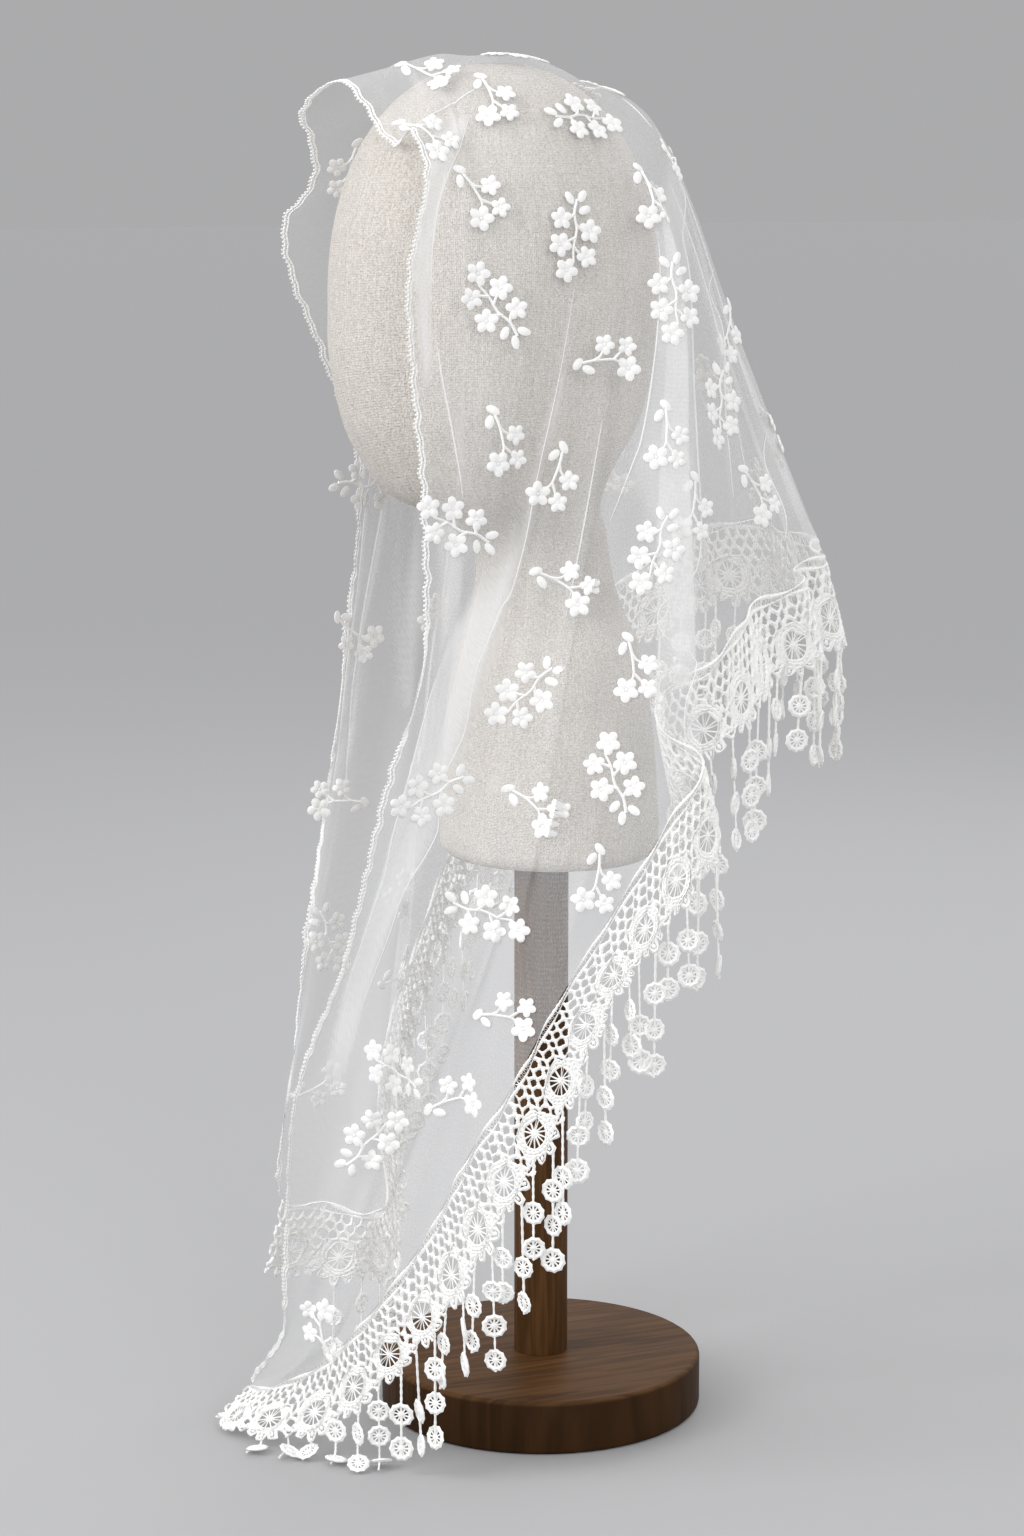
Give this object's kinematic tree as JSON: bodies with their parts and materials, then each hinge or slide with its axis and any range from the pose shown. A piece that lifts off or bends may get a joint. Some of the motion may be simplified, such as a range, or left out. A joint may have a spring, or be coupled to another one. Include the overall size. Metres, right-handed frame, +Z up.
{
  "type": "triangle lace veil on linen head form stand",
  "caption": "Soft net triangle veil with crochet lace border and disc fringe, draped over a linen head form on a wooden pole and round base.",
  "frame": {"origin": "middle of the round base's underside, on the floor", "axes": "+Z up along the pole; the head form faces -Y; its left side, which is the camera's side, is +X"},
  "size_m": [0.2961, 0.3982, 0.7517],
  "materials": {
    "tulle": "matte",
    "lace": "matte",
    "linen": "matte",
    "walnut": "satin"
  },
  "bodies": {
    "root": {"tulle_ground": "tulle", "front_edge_braid": "lace", "lace_border_left": "lace", "lace_border_right": "lace", "fringe_left": "lace", "fringe_right": "lace", "head_form": "linen", "pole": "walnut", "base": "walnut"}
  },
  "joints": []
}
